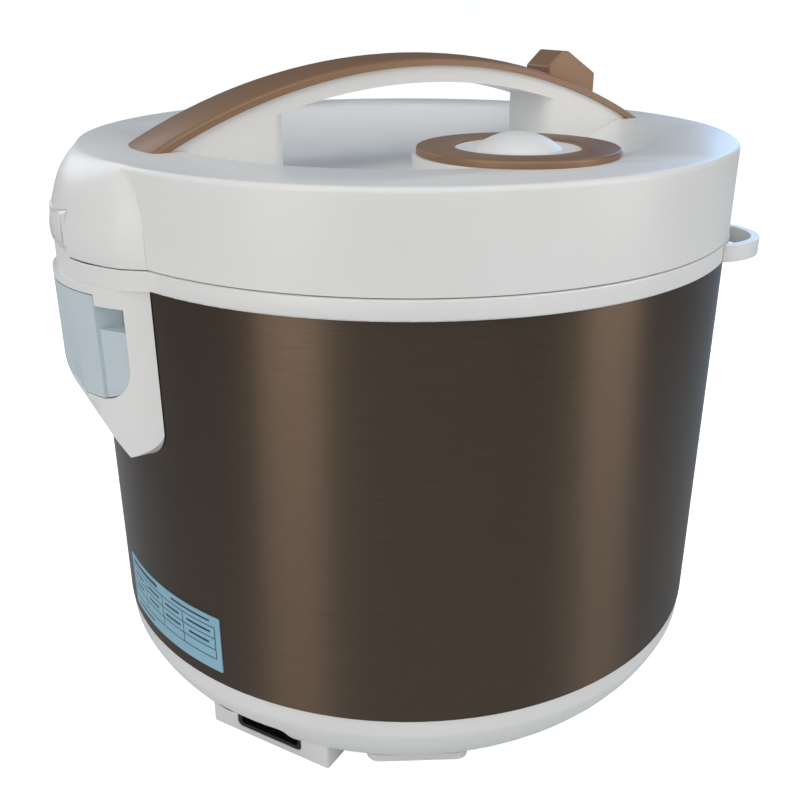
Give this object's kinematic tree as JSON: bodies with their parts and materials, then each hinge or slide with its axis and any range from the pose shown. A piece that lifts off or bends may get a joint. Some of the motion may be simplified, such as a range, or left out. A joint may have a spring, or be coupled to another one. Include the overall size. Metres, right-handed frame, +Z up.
{
  "type": "rice cooker",
  "caption": "Electric rice cooker: round steel-clad drum, hinged lid with arched carrying handle, steam vent, dew cup at the back and front cook lever.",
  "frame": {"origin": "on the drum axis, in the plane of the bottom of the feet", "axes": "+Z up along the drum axis, -Y towards the control panel, +Y towards the lid hinge and dew cup, -X towards the steam vent"},
  "size_m": [0.2726, 0.302, 0.2723],
  "materials": {
    "white_plastic": "smooth moulded, glossy",
    "bronze_plastic": "metallic bronze lacquer",
    "shell_steel": "brushed and tinted dark bronze",
    "label_film": "printed foil",
    "black_plastic": "moulded",
    "steel": "plain",
    "brass": "plain",
    "aluminium": "satin",
    "pot_coating": "non-stick coat",
    "rubber": "moulded",
    "clear_cup": "translucent",
    "grey_plastic": "moulded",
    "amber_lens": "clear amber",
    "board": "circuit board",
    "spring_steel": "plain"
  },
  "bodies": {
    "base": {"base_skirt": "white_plastic", "bottom_cover": "steel", "bottom_screws": "steel", "feet": "white_plastic", "inlet_pins": "brass", "inlet_socket": "black_plastic", "outer_shell": "shell_steel", "rating_label": "label_film", "front_panel": "white_plastic", "lamp_lenses": "amber_lens", "lamp_board": "board", "upper_ring": "white_plastic", "lid_catch": "steel", "spoon_loop": "white_plastic", "dew_cup_holder": "white_plastic", "inner_housing": "aluminium", "inner_pot": "pot_coating", "heating_plate": "aluminium", "heater_terminals": "brass", "plate_supports": "steel", "band_heater": "steel", "thermal_fuse": "steel", "terminal_block": "black_plastic", "terminal_screws": "brass", "thermostat_guide": "steel", "sensor_spring": "spring_steel", "lever_bracket": "steel", "lever_pin": "steel", "micro_switch": "black_plastic"},
    "lid": {"lid_cover": "white_plastic", "hinge_pin": "steel", "lid_liner": "grey_plastic", "inner_lid_plate": "aluminium", "lid_gasket": "rubber", "centre_knob": "rubber", "lid_heater": "aluminium", "vent_tube": "grey_plastic", "vent_seal": "rubber", "handle_grip": "white_plastic", "handle_strip": "bronze_plastic", "handle_screws": "steel", "button_spring": "spring_steel", "latch_pin": "steel"},
    "steam_vent": {"vent_ring": "bronze_plastic", "vent_cap": "white_plastic"},
    "dew_cup": {"dew_cup": "clear_cup"},
    "open_button": {"open_button": "bronze_plastic"},
    "latch_hook": {"latch_hook": "steel"},
    "cook_lever": {"cook_lever": "black_plastic"},
    "magnet_plunger": {"magnet_plunger": "steel"},
    "sensor_head": {"sensor_head": "aluminium"}
  },
  "joints": [
    {"name": "lid_hinge", "type": "hinge", "parent": "base", "child": "lid", "pos_m": [0, 0.14, 0.2164], "axis": [-1, 0, 0], "range_deg": [0, 65]},
    {"name": "vent_lift", "type": "slide", "parent": "lid", "child": "steam_vent", "axis": [0, 0, 1], "range_m": [0, 0.03]},
    {"name": "dew_cup_slide", "type": "slide", "parent": "base", "child": "dew_cup", "axis": [0, 1, 0], "range_m": [0, 0.03]},
    {"name": "button_press", "type": "slide", "parent": "lid", "child": "open_button", "axis": [0, 0, -1], "range_m": [0, 0.003], "stiffness_N_per_m": 500, "springref_m": -0.002, "deforming": ["button_spring"]},
    {"name": "latch_swing", "type": "hinge", "parent": "lid", "child": "latch_hook", "pos_m": [0, -0.103, 0.2218], "axis": [-1, 0, 0], "range_deg": [0, 8]},
    {"name": "lever_press", "type": "hinge", "parent": "base", "child": "cook_lever", "pos_m": [0, -0.095, 0.0365], "axis": [1, 0, 0], "range_deg": [0, 4.2], "stiffness_Nm_per_rad": 0.6, "springref_deg": -2.86},
    {"name": "plunger_lift", "type": "slide", "parent": "base", "child": "magnet_plunger", "axis": [0, 0, 1], "range_m": [0, 0.0071]},
    {"name": "sensor_travel", "type": "slide", "parent": "base", "child": "sensor_head", "axis": [0, 0, -1], "range_m": [0, 0.0025], "stiffness_N_per_m": 400, "springref_m": -0.002, "deforming": ["sensor_spring"]}
  ],
  "couplings": [
    {"joint": "latch_swing", "follows": "button_press", "rad_per_m": 45.45},
    {"joint": "plunger_lift", "follows": "lever_press", "m_per_rad": 0.095}
  ]
}
